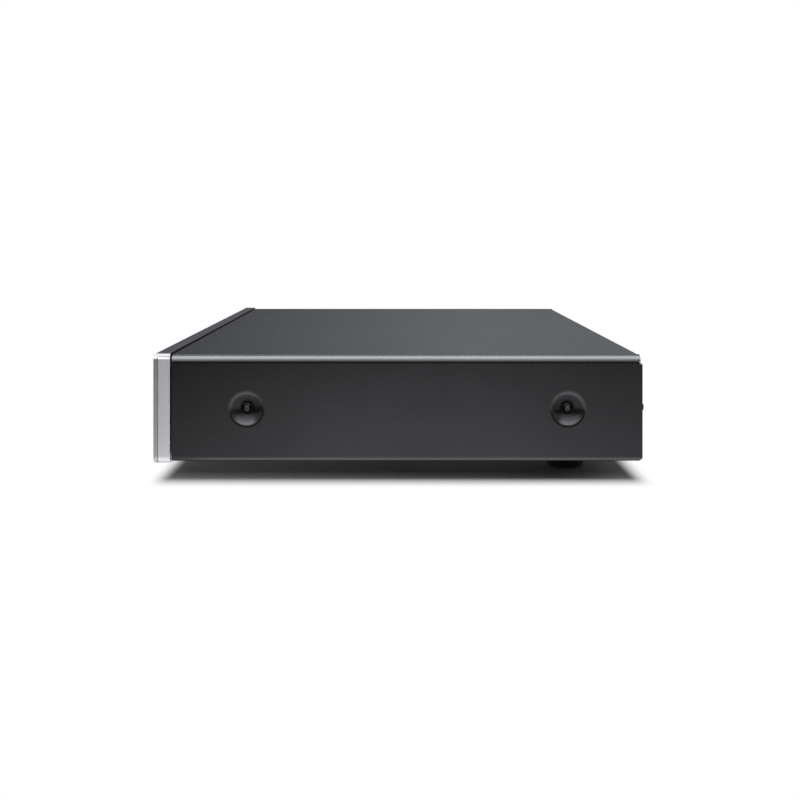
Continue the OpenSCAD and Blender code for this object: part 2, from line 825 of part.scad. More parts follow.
// Feet
module foot(place) {
    h = base_z0 - pad_proud;
    color(soft_black) translate([place[0], place[1], pad_proud]) difference() {
        rotate_extrude() {
            square([foot_r - foot_round, h]);
            translate([0, foot_round]) square([foot_r, h - foot_round]);
            translate([foot_r - foot_round, foot_round]) circle(foot_round);
        }
        translate([0, 0, -bite]) cylinder(r = foot_bore_r, h = h - foot_web + bite);
        cylinder(r = screw_r + hole_gap, h = h + bite);
        translate([0, 0, -bite]) rotate_extrude() translate([pad_hole_r - touch, 0])
            square([pad_r - pad_hole_r + 2 * touch, pad_t - pad_proud + bite]);
    }
}

module foot_front_left() {
    foot(foot_places[0]);
}

module foot_front_right() {
    foot(foot_places[1]);
}

module foot_rear_left() {
    foot(foot_places[2]);
}

module foot_rear_right() {
    foot(foot_places[3]);
}

module foot_rings() {
    color(moulded_black) for (p = foot_places) translate([p[0], p[1], 0])
        rotate_extrude() translate([pad_hole_r, 0]) square([pad_r - pad_hole_r, pad_t]);
}

// Display
module display_window() {
    color(soft_black) translate([0, 0, mid_z]) {
        along_y(front_y + window_set, plate_y + bite)
            round_rect(window_w - 2 * touch, window_h - 2 * touch, window_r - touch);
        along_y(plate_y, plate_y + window_rim_t)
            round_rect(window_w + 2 * window_rim, window_h + 2 * window_rim, window_r + window_rim);
    }
}

module display_module() {
    y0 = plate_y + window_rim_t;
    glass_t = 1;
    margin = 2;
    half_w = window_w / 2 - 2 * margin;
    half_h = ctrl_half - margin;
    color(moulded_black) translate([0, 0, mid_z]) {
        block([-half_w, y0 + glass_t, -half_h], [half_w, ctrl_y0, half_h]);
        block([margin - half_w, y0, margin - half_h],
            [half_w - margin, y0 + glass_t + bite, half_h - margin]);
    }
}

// Light guides for the infra-red receiver and the status light, seated on the control board
module guide(place, r) {
    translate([place[0], 0, place[1]]) {
        rod_y(r, front_y, plate_y + bite);
        rod_y(r + collar_w, plate_y, plate_y + collar_t);
        rod_y(r, plate_y, ctrl_y0);
    }
}

module ir_window() {
    color(soft_black) guide([ir_x, mid_z], ir_r);
}

module status_light() {
    color("white") guide([standby_x, mid_z - light_drop], light_r);
}

// Buttons: cap, collar behind the panel and stem towards the switch
module button_stack() {
    y0 = front_y - button_proud;
    collar_y = plate_y + touch;
    along_y(y0, collar_y + bite) children(0);
    along_y(collar_y, collar_y + collar_t) children(1);
    rod_y(switch_cap_r + touch, collar_y, stem_y);
}

module standby_button() {
    color(bare_metal) translate([standby_x, 0, mid_z]) difference() {
        button_stack() {
            circle(standby_r);
            circle(standby_r + collar_w);
        }
        translate([0, front_y - button_proud - 3 * standby_r, 0]) sphere(3 * standby_r + button_proud / 2);
    }
}

module button(side, row) {
    color(bare_metal) translate([side * button_x, 0, mid_z + row * button_pitch]) button_stack() {
        button_shape(0);
        button_shape(collar_w);
    }
}

module button_left_upper() {
    button(-1, 1);
}

module button_left_middle() {
    button(-1, 0);
}

module button_left_lower() {
    button(-1, -1);
}

module button_right_upper() {
    button(1, 1);
}

module button_right_middle() {
    button(1, 0);
}

module button_right_lower() {
    button(1, -1);
}

// Knob and rotary push encoder
module shaft_section(grow) {
    difference() {
        circle(shaft_r + grow);
        translate([shaft_flat + grow, -2 * shaft_r]) square(4 * shaft_r);
    }
}

module knob() {
    y0 = front_y - knob_reach;
    y1 = front_y - knob_gap;
    h = y1 - y0;
    edge = 0.8;
    rim = 2.4;
    dish = 0.6;
    groove = 0.5;
    color(bare_metal) translate([knob_x, 0, mid_z]) difference() {
        translate([0, y1, 0]) rotate([90, 0, 0]) rotate_extrude() difference() {
            polygon([[0, 0], [knob_r - edge, 0], [knob_r, edge], [knob_r, h - edge],
                [knob_r - edge, h], [knob_r - rim, h], [0, h - dish]]);
            translate([knob_r, 2 * edge]) circle(groove);
        }
        rod_y(knob_recess_r, y1 - knob_recess_d, y1 + bite);
        along_y(y0 + knob_face_t, y1) shaft_section(touch / 2);
    }
}

module encoder_shaft() {
    color(zinc) translate([knob_x, 0, mid_z]) {
        along_y(shaft_y, front_y - bush_reach - knob_travel - run_gap) shaft_section(0);
        rod_y(shaft_r, front_y - bush_reach - knob_travel - run_gap, plunger_y);
    }
}

module encoder_plunger() {
    color("white") translate([knob_x, 0, mid_z]) rod_y(plunger_r, plunger_y, plunger_y + plunger_t);
}

module encoder_body() {
    color(zinc) translate([knob_x, 0, mid_z]) difference() {
        union() {
            block([-encoder_w / 2, plate_y, -encoder_w / 2], [encoder_w / 2, ctrl_y0, encoder_w / 2]);
            rod_y(bush_r, front_y - bush_reach, plate_y + bite);
        }
        rod_y(shaft_r + shaft_gap, front_y - bush_reach - bite, ctrl_y0);
        rod_y(pocket_r, ctrl_y0 - pocket_d, ctrl_y0 + bite);
    }
}

module encoder_nut() {
    color(zinc) translate([knob_x, 0, mid_z]) difference() {
        translate([0, front_y, 0]) rotate([90, 0, 0]) cylinder(r = nut_r, h = nut_t, $fn = 6);
        rod_y(bush_r + thread_gap, front_y - nut_t - bite, front_y + bite);
    }
}

// Control board behind the front panel
module control_board() {
    color(board_green) along_y(ctrl_y0, ctrl_y1) difference() {
        translate([ctrl_x0, mid_z - ctrl_half]) square([ctrl_x1 - ctrl_x0, 2 * ctrl_half]);
        for (p = post_places) translate(p) circle(screw_r + hole_gap);
    }
}

module tact_switches() {
    color(moulded_black) for (p = switch_places) translate([p[0], 0, p[1]]) {
        block([-switch_w / 2, ctrl_y0 - switch_h, -switch_w / 2], [switch_w / 2, ctrl_y0, switch_w / 2]);
        rod_y(switch_cap_r, ctrl_y0 - switch_h - switch_cap_h, ctrl_y0 - bite);
    }
}

// Main board with its chips, network module and heat sink
module main_board() {
    color(board_green) difference() {
        union() {
            block([main_x0, main_y0, board_z0], [main_x1, board_y1, board_z1]);
            for (c = concat(chips, [[sink_at[0], sink_at[1], sink_w / 2]]))
                translate([main_x0 + c[0], main_y0 + c[1], board_z1 + (chip_t - bite) / 2])
                    cube([c[2], c[2], chip_t + bite], center = true);
        }
        for (p = main_holes) translate([p[0], p[1], board_z0 - bite])
            cylinder(r = screw_r + hole_gap, h = pcb_t + 2 * bite);
    }
}

module network_module() {
    header_h = 3;
    can_h = 3.2;
    color(board_green) translate([main_x0 + net_at[0], main_y0 + net_at[1], board_z1]) {
        along_z(0, header_h + bite) for (sx = [-1, 1])
            translate([sx * (net_size[0] / 2 - header_w), 0]) square([header_w, net_size[1]], center = true);
        along_z(header_h, header_h + pcb_t) square(net_size, center = true);
        along_z(header_h + bite, header_h + pcb_t + can_h) square(net_can, center = true);
    }
}

module heat_sink() {
    foot_t = 4;
    fin_t = 1.6;
    fin_h = 14;
    fins = 8;
    step = (sink_w - fin_t) / (fins - 1);
    x0 = main_x0 + sink_at[0] - sink_w / 2;
    y0 = main_y0 + sink_at[1] - sink_w / 2;
    color(dark_steel) translate([x0, y0, board_z1 + chip_t]) {
        cube([sink_w, sink_w, foot_t]);
        for (k = [0:fins - 1]) translate([k * step, 0, foot_t - bite]) cube([fin_t, sink_w, fin_h + bite]);
    }
}

// Power supply
module power_board() {
    color(board_green) along_z(board_z0, board_z1) difference() {
        translate([power_x0, power_y0]) square([power_w, power_l]);
        for (p = power_holes) translate(p) circle(screw_r + hole_gap);
    }
}

module capacitors() {
    big_step = 2 * (big_cap[0] + big_cap_gap);
    small_x = main_x0 + small_cap_at[0];
    small_y = main_y0 + small_cap_at[1];
    color(moulded_black) {
        for (k = [1, 2]) translate([power_x1 - k * big_step, power_y0 + 2 * big_cap[0], board_z1])
            cylinder(r = big_cap[0], h = big_cap[1]);
        for (k = [0:small_cap_count - 1]) translate([small_x + k * small_cap_pitch, small_y, board_z1])
            cylinder(r = small_cap[0], h = small_cap[1]);
    }
}

module terminal_blocks() {
    color(moulded_black) {
        block([inlet_x - 2 * blade_pitch, tab_y - lead_l - terminal_l, board_z1],
            [inlet_x + 2 * blade_pitch, tab_y - lead_l, inlet_z + blade_rise + 2 * lead_r]);
        block([switch_x - blade_pitch, switch_tab_y - lead_l - terminal_l, board_z1],
            [switch_x + blade_pitch, switch_tab_y - lead_l, inlet_z + 4 * lead_r]);
    }
}

module mains_leads() {
    color(copper_red) {
        for (p = blade_places) translate([inlet_x + p[0], 0, inlet_z + p[1]])
            rod_y(lead_r, tab_y - lead_l, tab_y);
        for (sz = [-1, 1]) translate([switch_x, 0, inlet_z + 2 * sz * lead_r])
            rod_y(lead_r, switch_tab_y - lead_l, switch_tab_y);
    }
}

module ring_core() {
    color(copper_red) translate([core_x, core_y, base_z1]) rotate_extrude()
        translate([(core_r + core_hole_r) / 2, core_h / 2])
            round_rect(core_r - core_hole_r, core_h, core_round);
}

module core_washer() {
    color(zinc) translate([core_x, core_y, core_z1]) difference() {
        cylinder(r = washer_r, h = washer_t);
        translate([0, 0, -bite]) cylinder(r = bolt_r + hole_gap, h = washer_t + 2 * bite);
    }
}

module core_bolt() {
    color(zinc) translate([core_x, core_y, core_z1 + washer_t]) {
        cylinder(r = bolt_head_r, h = bolt_head_h, $fn = 6);
        translate([0, 0, -bolt_l]) cylinder(r = bolt_r, h = bolt_l + bite);
    }
}

// Plug-in connectors on the boards
module board_connectors() {
    ribbon_half = ribbon_w / 2 + plug_wall;
    color("ivory") {
        block([ribbon_x - ribbon_half, ctrl_y1, ribbon_z - plug_wall],
            [ribbon_x + ribbon_half, ribbon_y0, ribbon_z + plug_wall]);
        block([ribbon_x - ribbon_half, ribbon_y1, board_z1],
            [ribbon_x + ribbon_half, ribbon_y1 + plug_l, ribbon_z + plug_wall]);
        for (x = [power_x1 - dc_plug[0], main_x0])
            translate([x, dc_y - dc_plug[1] / 2, board_z1]) cube(dc_plug);
        translate([core_x - core_plug[0] / 2, power_y0, board_z1]) cube(core_plug);
    }
}

// Leads between the boards and from the transformer
module inner_leads() {
    color(copper_red) {
        for (k = [0:dc_count - 1]) translate([0, dc_y + (k - (dc_count - 1) / 2) * dc_pitch, dc_z])
            rod_x(dc_r, power_x1, main_x0);
        for (dx = core_lead_xs) translate([core_x + dx, 0, dc_z])
            rod_y(dc_r, core_y + sqrt(pow(core_r, 2) - pow(abs(dx) - dc_r, 2)) + touch, power_y0);
    }
}

// Flat ribbon: from the control board down to the floor of the tray, along it and up to the main board
module quarter_ring(r, t, turn) {
    rotate(turn) intersection() {
        difference() {
            circle(r);
            circle(r - t);
        }
        square(r);
    }
}

module ribbon_end() {
    low = base_z1 + ribbon_r;
    high = ribbon_z - ribbon_r;
    translate([0, ribbon_z - ribbon_t]) square([ribbon_run, ribbon_t]);
    translate([ribbon_run, high]) quarter_ring(ribbon_r, ribbon_t, 0);
    translate([ribbon_run + ribbon_r - ribbon_t, low]) square([ribbon_t, high - low]);
    translate([ribbon_run + 2 * ribbon_r - ribbon_t, low]) quarter_ring(ribbon_r, ribbon_t, 180);
}

module ribbon_cable() {
    reach = ribbon_run + 2 * ribbon_r - ribbon_t;
    color("lightgrey") along_x(ribbon_x - ribbon_w / 2, ribbon_x + ribbon_w / 2) {
        translate([ribbon_y0, 0]) ribbon_end();
        translate([ribbon_y1, 0]) mirror([1, 0]) ribbon_end();
        translate([ribbon_y0 + reach, base_z1]) square([ribbon_y1 - ribbon_y0 - 2 * reach, ribbon_t]);
    }
}

// Mains inlet
module inlet_mouth() {
    w = inlet_w / 2;
    h = inlet_h / 2;
    polygon([[-w, -h], [w, -h], [w, h - inlet_chamfer], [w - inlet_chamfer, h],
        [inlet_chamfer - w, h], [-w, h - inlet_chamfer]]);
}

module mains_inlet() {
    w = inlet_w / 2 + inlet_wall;
    h = inlet_h / 2 + inlet_wall;
    color(moulded_black) translate([inlet_x, 0, inlet_z]) difference() {
        union() {
            block([-w, inlet_y0, -h], [w, rear_y + bite, h]);
            along_y(rear_y, rear_y + inlet_flange_t)
                round_rect(2 * (w + inlet_rim), 2 * (h + inlet_rim), inlet_rim);
            for (sx = [-1, 1])
                block([sx * w - lug_w, cover_y1 - lug_l, -lug_half],
                    [sx * w + lug_w, cover_y1 - touch, lug_half]);
        }
        along_y(inlet_y0 + inlet_wall, rear_y + inlet_flange_t + bite) inlet_mouth();
        along_y(inlet_y0 - bite, inlet_y0 + inlet_wall + bite)
            for (p = blade_places) translate(p) square(blade, center = true);
    }
}

module inlet_pins() {
    color(brass_yellow) translate([inlet_x, 0, inlet_z]) for (p = blade_places) {
        along_y(inlet_y0, rear_y + inlet_flange_t - blade_set) translate(p) square(blade, center = true);
        along_y(tab_y, inlet_y0 + bite) translate(p) square([tab_t, blade[1]], center = true);
    }
}

// Rear mains switch: a frame with a pocket, and a rocker on two pivots
module mains_switch() {
    half_w = switch_body[0] / 2;
    half_h = switch_body[2] / 2;
    pocket_w = rocker_w + 2 * run_gap;
    color(moulded_black) translate([switch_x, 0, inlet_z]) {
        difference() {
            union() {
                block([-half_w, rear_y - switch_body[1], -half_h], [half_w, rear_y + bite, half_h]);
                along_y(rear_y, rear_y + switch_flange[1])
                    round_rect(switch_flange[0], switch_flange[2], flange_corner_r);
            }
            block([-pocket_w / 2, pocket_y, -rocker_r - run_gap],
                [pocket_w / 2, rear_y + 2 * switch_flange[1], rocker_r + run_gap]);
            translate([0, pivot_y, 0])
                rod_x(pivot_r + shaft_gap, -pocket_w / 2 - pivot_l, pocket_w / 2 + pivot_l);
        }
        for (sz = [-1, 1]) along_y(switch_tab_y, rear_y - switch_body[1] + bite)
            translate([0, 2 * sz * lead_r]) square([tab_t, 2 * lead_r], center = true);
    }
}

module rocker() {
    top = rear_y + switch_flange[1] + rocker_rise - pivot_y;
    lift = 2 * rocker_r * tan(rocker_tilt);
    color(soft_black) translate([switch_x, pivot_y, inlet_z]) rotate([rocker_tilt, 0, 0]) {
        along_x(-rocker_w / 2, rocker_w / 2) intersection() {
            circle(rocker_r);
            polygon([[-rocker_depth, -2 * rocker_r], [top + lift, -2 * rocker_r], [top, 0],
                [top + lift, 2 * rocker_r], [-rocker_depth, 2 * rocker_r]]);
        }
        rod_x(pivot_r, -rocker_w / 2 - run_gap - pivot_l + touch, rocker_w / 2 + run_gap + pivot_l - touch);
    }
}

// Network and data sockets
module ethernet_jack() {
    y1 = rear_y + socket_proud;
    z0 = board_z1 + lan_floor;
    color(zinc) translate([lan_x, 0, 0]) difference() {
        block([-lan_w / 2, y1 - lan_l, board_z1], [lan_w / 2, y1, board_z1 + lan_h]);
        block([-lan_mouth[0] / 2, y1 - lan_mouth[2], z0], [lan_mouth[0] / 2, y1 + bite, z0 + lan_mouth[1]]);
        block([-latch_w / 2, y1 - lan_mouth[2], z0 + bite],
            [latch_w / 2, y1 + bite, z0 + lan_mouth[1] + latch_h]);
    }
}

module usb_sockets() {
    y1 = rear_y + socket_proud;
    size = usb_size;
    color(zinc) for (x = usb_xs) translate([x, y1 - size[1], board_z1]) {
        difference() {
            translate([-size[0] / 2, 0, 0]) cube(size);
            translate([usb_wall - size[0] / 2, size[1] - usb_tongue[1], usb_wall])
                cube([size[0] - 2 * usb_wall, size[1], size[2] - 2 * usb_wall]);
        }
        translate([-usb_tongue[0] / 2, size[1] - usb_tongue[1] - bite, size[2] / 2])
            cube([usb_tongue[0], usb_tongue[1] - usb_tongue_set, usb_tongue[2]]);
    }
}

// Phono sockets: moulded housing, plated collar and insulating insert with the contact hole
module phono_housings() {
    half_w = phono_body_w / 2;
    color(moulded_black) for (x = phono_xs)
        block([x - half_w, phono_y - phono_body_l, board_z1], [x + half_w, phono_y, phono_z + half_w]);
}

module phono_collars() {
    color(bare_metal) for (x = phono_xs) translate([x, 0, phono_z]) difference() {
        union() {
            rod_y(phono_step_r, phono_y, rear_y);
            rod_y(phono_r, phono_y, rear_y + socket_reach);
        }
        rod_y(phono_bore_r, phono_y - bite, rear_y + socket_reach + bite);
    }
}

module phono_inserts() {
    color("ivory") for (x = phono_xs) translate([x, 0, phono_z]) difference() {
        rod_y(phono_bore_r - touch / 2, phono_y, rear_y + socket_reach - phono_lip);
        rod_y(phono_pin_r, phono_y + bite, rear_y + socket_reach);
    }
}

// Fasteners
module standoffs() {
    color(brass_yellow) for (p = concat(main_holes, power_holes)) translate([p[0], p[1], 0]) difference() {
        union() {
            translate([0, 0, base_z0]) cylinder(r = spigot_r, h = base_t + bite);
            translate([0, 0, base_z1]) cylinder(r = standoff_r, h = standoff_h);
        }
        translate([0, 0, base_z0 - bite])
            cylinder(r = screw_r + thread_gap, h = base_t + standoff_h + 2 * bite);
    }
}

module cover_screws() {
    color(dark_steel) on_dimples() translate([0, 0, dish_depth]) rotate([180, 0, 0]) screw(case_screw_l);
}

module clinch_nuts() {
    nut_l = 3;
    color(zinc) on_dimples() translate([0, 0, dish_depth + sheet_t + base_t]) difference() {
        cylinder(r = head_r, h = nut_l);
        translate([0, 0, -bite]) cylinder(r = screw_r + thread_gap, h = nut_l + 2 * bite);
    }
}

module rear_screws() {
    color(dark_steel) on_rear_screws() screw(case_screw_l);
}

module base_screws() {
    color(dark_steel) on_base_screws() screw(base_screw_l);
}

module panel_screws() {
    color(dark_steel) for (p = boss_places) translate([p[0], base_y0 + base_t, p[1]])
        rotate([-90, 0, 0]) screw(panel_screw_l);
}

module board_screws() {
    color(zinc) {
        for (p = concat(main_holes, power_holes)) translate([p[0], p[1], board_z1]) screw(board_screw_l);
        for (p = post_places) translate([p[0], ctrl_y1, p[1]]) rotate([-90, 0, 0]) screw(board_screw_l);
    }
}

module foot_screws() {
    color(dark_steel) for (p = foot_places) translate([p[0], p[1], base_z0 - foot_web])
        rotate([180, 0, 0]) screw(foot_web + base_t + foot_thread);
}

front_panel();
end_cap_left();
end_cap_right();
top_cover();
base_tray();
rear_panel();
foot_front_left();
foot_front_right();
foot_rear_left();
foot_rear_right();
foot_rings();
display_window();
display_module();
ir_window();
status_light();
standby_button();
button_left_upper();
button_left_middle();
button_left_lower();
button_right_upper();
button_right_middle();
button_right_lower();
knob();
encoder_shaft();
encoder_plunger();
encoder_body();
encoder_nut();
control_board();
tact_switches();
main_board();
network_module();
heat_sink();
power_board();
capacitors();
terminal_blocks();
board_connectors();
ring_core();
core_washer();
core_bolt();
mains_leads();
inner_leads();
ribbon_cable();
mains_inlet();
inlet_pins();
mains_switch();
rocker();
ethernet_jack();
usb_sockets();
phono_housings();
phono_collars();
phono_inserts();
rear_brackets();
standoffs();
cover_screws();
clinch_nuts();
rear_screws();
base_screws();
panel_screws();
board_screws();
foot_screws();
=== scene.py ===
import math

import bmesh
import bpy
from mathutils import Matrix, Vector


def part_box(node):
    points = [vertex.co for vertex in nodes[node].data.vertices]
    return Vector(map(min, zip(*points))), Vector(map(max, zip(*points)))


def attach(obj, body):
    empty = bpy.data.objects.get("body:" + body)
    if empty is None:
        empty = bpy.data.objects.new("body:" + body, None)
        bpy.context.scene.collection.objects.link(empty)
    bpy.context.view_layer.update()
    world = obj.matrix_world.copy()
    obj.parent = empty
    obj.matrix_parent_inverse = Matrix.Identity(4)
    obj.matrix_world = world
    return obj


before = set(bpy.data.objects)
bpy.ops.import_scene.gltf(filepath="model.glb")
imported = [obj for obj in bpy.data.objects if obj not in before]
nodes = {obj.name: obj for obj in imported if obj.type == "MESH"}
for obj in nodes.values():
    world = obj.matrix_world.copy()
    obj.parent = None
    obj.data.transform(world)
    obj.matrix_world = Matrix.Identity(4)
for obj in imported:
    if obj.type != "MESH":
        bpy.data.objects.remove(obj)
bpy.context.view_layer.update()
scene = bpy.context.scene
scene.view_settings.view_transform = "Standard"

BLACK = (0.0, 0.0, 0.0)
WHITE = (1.0, 1.0, 1.0)


# Camera: level, on the right-hand side of the case, looking along -X. The
# picture is shifted instead of tilted, so upright edges stay upright.

EYE = (0.936, 0.0016, 0.1476)
FOCAL_LENGTH_MM = 55.2
SENSOR_WIDTH_MM = 36.0
PICTURE_SHIFT = -0.2125
CLIP_NEAR, CLIP_FAR = 0.01, 100.0

camera_data = bpy.data.cameras.new("camera")
camera_data.sensor_width = SENSOR_WIDTH_MM
camera_data.lens = FOCAL_LENGTH_MM
camera_data.shift_y = PICTURE_SHIFT
camera_data.clip_start = CLIP_NEAR
camera_data.clip_end = CLIP_FAR
camera = bpy.data.objects.new("camera", camera_data)
camera.location = EYE
camera.rotation_euler = (math.pi / 2, 0.0, math.pi / 2)
scene.collection.objects.link(camera)
scene.camera = camera


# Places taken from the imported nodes, in metres.

def middle(name):
    low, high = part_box(name)
    return (Vector(low) + Vector(high)) / 2


knob_at = middle("knob")
core_at = middle("ring_core")
window_at = middle("display_window")
inlet_x = middle("mains_inlet")[0]
board_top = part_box("power_board")[1][2]
net_low, net_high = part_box("network_module")
phono_low, phono_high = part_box("phono_inserts")

# The cover screws stand in the middle of the dimples, two on each side of the case.
screw_low, screw_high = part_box("cover_screws")
head_r = (screw_high[2] - screw_low[2]) / 2
dimple_y = (screw_low[1] + screw_high[1]) / 2
dimple_z = (screw_low[2] + screw_high[2]) / 2
dimple_off = (screw_high[1] - screw_low[1]) / 2 - head_r


# Node helpers: most methods return the socket that carries their result.

NOISE_LOW, NOISE_HIGH = 0.3, 0.7  # noise seldom leaves this range
MIX_A, MIX_B, MIX_RESULT = 6, 7, 2  # the colour sockets of a Mix node
EDGE_SAMPLES = 4


def rgba(colour):
    return (*colour, 1.0) if isinstance(colour, tuple) else (colour, colour, colour, 1.0)


class Tree:
    def __init__(self, tree):
        self.tree = tree

    def add(self, kind, **values):
        made = self.tree.nodes.new(kind)
        for key, value in values.items():
            setattr(made, key, value)
        return made

    def plug(self, value, socket):
        if isinstance(value, bpy.types.NodeSocket):
            self.tree.links.new(value, socket)
        else:
            socket.default_value = value

    def maths(self, operation, a, b=0.0):
        made = self.add("ShaderNodeMath", operation=operation)
        self.plug(a, made.inputs[0])
        self.plug(b, made.inputs[1])
        return made.outputs["Value"]

    def span(self, value, low, high, to_low=0.0, to_high=1.0, ease="LINEAR"):
        """Map low..high to to_low..to_high, held at both ends."""
        made = self.add("ShaderNodeMapRange", interpolation_type=ease)
        self.plug(value, made.inputs["Value"])
        limits = {"From Min": low, "From Max": high, "To Min": to_low, "To Max": to_high}
        for key, number in limits.items():
            made.inputs[key].default_value = number
        return made.outputs["Result"]


class Graph(Tree):
    def __init__(self, name):
        self.material = bpy.data.materials.new(name)
        self.material.use_nodes = True
        super().__init__(self.material.node_tree)
        self.shader = self.tree.nodes["Principled BSDF"]
        self.output = self.tree.nodes["Material Output"]

    def set(self, **values):
        for key, value in values.items():
            self.plug(value, self.shader.inputs[key.replace("_", " ")])

    def coat(self):
        return self.shader.inputs["Base Color"].links[0].from_socket

    def place(self, scale=(1.0, 1.0, 1.0), shift=(0.0, 0.0, 0.0)):
        mapping = self.add("ShaderNodeMapping")
        mapping.inputs["Scale"].default_value = scale
        mapping.inputs["Location"].default_value = shift
        self.plug(self.add("ShaderNodeTexCoord").outputs["Object"], mapping.inputs["Vector"])
        return mapping.outputs["Vector"]

    def axes(self, vector):
        made = self.add("ShaderNodeSeparateXYZ")
        self.plug(vector, made.inputs["Vector"])
        return made.outputs["X"], made.outputs["Y"], made.outputs["Z"]

    def axes_from(self, centre):
        return self.axes(self.place(shift=tuple(-c for c in centre)))

    def noise(self, scale, stretch=(1.0, 1.0, 1.0), detail=3.0):
        made = self.add("ShaderNodeTexNoise")
        self.plug(self.place(stretch), made.inputs["Vector"])
        made.inputs["Scale"].default_value = scale
        made.inputs["Detail"].default_value = detail
        return made.outputs["Fac"]

    def rings(self, value, scale, detail=2.0):
        made = self.add("ShaderNodeTexNoise", noise_dimensions="1D")
        self.plug(value, made.inputs["W"])
        made.inputs["Scale"].default_value = scale
        made.inputs["Detail"].default_value = detail
        return made.outputs["Fac"]

    def cells(self, scale):
        made = self.add("ShaderNodeTexVoronoi", feature="F1")
        self.plug(self.place(), made.inputs["Vector"])
        made.inputs["Scale"].default_value = scale
        return made.outputs["Color"]

    def bands(self, scale, direction):
        made = self.add("ShaderNodeTexWave", bands_direction=direction)
        self.plug(self.place(), made.inputs["Vector"])
        made.inputs["Scale"].default_value = scale
        return made.outputs["Fac"]

    def ramp(self, value, *stops, step=False):
        """Colours or greys along a value; each stop is a place and its colour."""
        made = self.add("ShaderNodeValToRGB")
        if step:
            made.color_ramp.interpolation = "CONSTANT"
        band = made.color_ramp.elements
        while len(band) < len(stops):
            band.new(0.5)
        for element, (at, colour) in zip(band, stops):
            element.position = at
            element.color = rgba(colour)
        self.plug(value, made.inputs["Fac"])
        return made.outputs["Color"]

    def two_tone(self, noise, first, second):
        return self.ramp(noise, (NOISE_LOW, first), (NOISE_HIGH, second))

    def vary(self, noise, low, high):
        return self.span(noise, NOISE_LOW, NOISE_HIGH, low, high)

    def rise(self, value, low, high):
        return self.ramp(value, (low, 0.0), (high, 1.0))

    def mix(self, share, a, b):
        made = self.add("ShaderNodeMix", data_type="RGBA")
        self.plug(share, made.inputs["Factor"])
        for colour, at in ((a, MIX_A), (b, MIX_B)):
            self.plug(rgba(colour) if isinstance(colour, tuple) else colour, made.inputs[at])
        return made.outputs[MIX_RESULT]

    def distance(self, a, b):
        squares = [self.maths("MULTIPLY", side, side) for side in (a, b)]
        return self.maths("SQRT", self.maths("ADD", *squares))

    def soft_edge(self, radius):
        made = self.add("ShaderNodeBevel", samples=EDGE_SAMPLES)
        made.inputs["Radius"].default_value = radius
        return made.outputs["Normal"]

    def bump(self, height, depth, strength, edge=0.0):
        made = self.add("ShaderNodeBump")
        made.inputs["Strength"].default_value = strength
        made.inputs["Distance"].default_value = depth
        self.plug(height, made.inputs["Height"])
        if edge:
            self.plug(self.soft_edge(edge), made.inputs["Normal"])
        self.plug(made.outputs["Normal"], self.shader.inputs["Normal"])


# Families of finishes. Noise scales are per metre; edge is the radius of the softened edges.

GRAIN_SWING, BRUSH_SWING = 0.04, 0.06  # how far the roughness swings
BRUSH_SPREAD, BRUSH_DEPTH, BRUSH_STRENGTH = 0.12, 0.00001, 0.3


def shades(colour, spread):
    return tuple((1 - spread) * c for c in colour), tuple((1 + spread) * c for c in colour)


def grained(name, colour, roughness, edge, blotch=14.0, grain=2600.0, spread=0.1,
            depth=0.00002, strength=0.25, metallic=0.0):
    g = Graph(name)
    fine = g.noise(grain, detail=2.0)
    g.set(Base_Color=g.two_tone(g.noise(blotch, detail=2.0), *shades(colour, spread)))
    g.set(Roughness=g.vary(fine, roughness - GRAIN_SWING, roughness + GRAIN_SWING))
    g.set(Metallic=metallic)
    g.bump(fine, depth, strength, edge)
    return g


def brushed(name, colour, roughness, edge, stretch):
    g = Graph(name)
    lines = g.noise(1.0, stretch)
    g.set(Base_Color=g.two_tone(lines, *shades(colour, BRUSH_SPREAD)), Metallic=1.0)
    g.set(Roughness=g.vary(lines, roughness - BRUSH_SWING, roughness + BRUSH_SWING))
    g.bump(lines, BRUSH_DEPTH, BRUSH_STRENGTH, edge)
    return g


def from_dimple(g):
    """Distance from the axis of the nearest dimple, and height above that axis."""
    _, y, z = g.axes(g.place())
    beside = g.maths("ABSOLUTE", g.maths("SUBTRACT", y, dimple_y))
    aside = g.maths("SUBTRACT", beside, dimple_off)
    above = g.maths("SUBTRACT", z, dimple_z)
    return g.distance(aside, above), above


# Case paint: satin dark-grey powder coat on steel sheet. In the pressed dimples shade is painted
# into its colour, darkest on the seat round the screw head and low in the bowl, and a painted
# highlight makes the upper lip lighter.
# Here and below, a group of pairs holds a ramp's stops, and a group of numbers a span's limits.

DIMPLE_SPAN = 0.015  # the distance that is 1 on the ramps; a lean moves a zone up or down
BOWL_SHADE_ZONE, BOWL_SHADE_LEAN = ((0.60, 0.6), (0.68, 1.0)), 0.12
SEAT_SHADE_ZONE, SEAT_SHADE_LEAN = ((0.22, 0.25), (0.32, 1.0)), -0.15
LIP_HIGHLIGHT_ZONE = ((0.54, 0.0), (0.59, 1.0), (0.66, 1.0), (0.72, 0.0))
LOW_IN_BOWL = (-0.006, -0.002, 1.38, 1.0)
UPPER_HALF = (-0.004, 0.0)
LIP_HIGHLIGHT_COAT = (0.075, 0.0765, 0.0805)

paint = grained("case paint", (0.056, 0.057, 0.060), roughness=0.28, edge=0.0003,
                spread=0.06, strength=0.12, metallic=1.0)
paint.set(Specular_Tint=(0.45, 0.455, 0.47, 1.0))
reach, above = from_dimple(paint)


def dimple_zone(stops, lean=0.0):
    leant = paint.maths("ADD", reach, paint.maths("MULTIPLY", above, lean))
    return paint.ramp(paint.span(leant, 0.0, DIMPLE_SPAN), *stops)
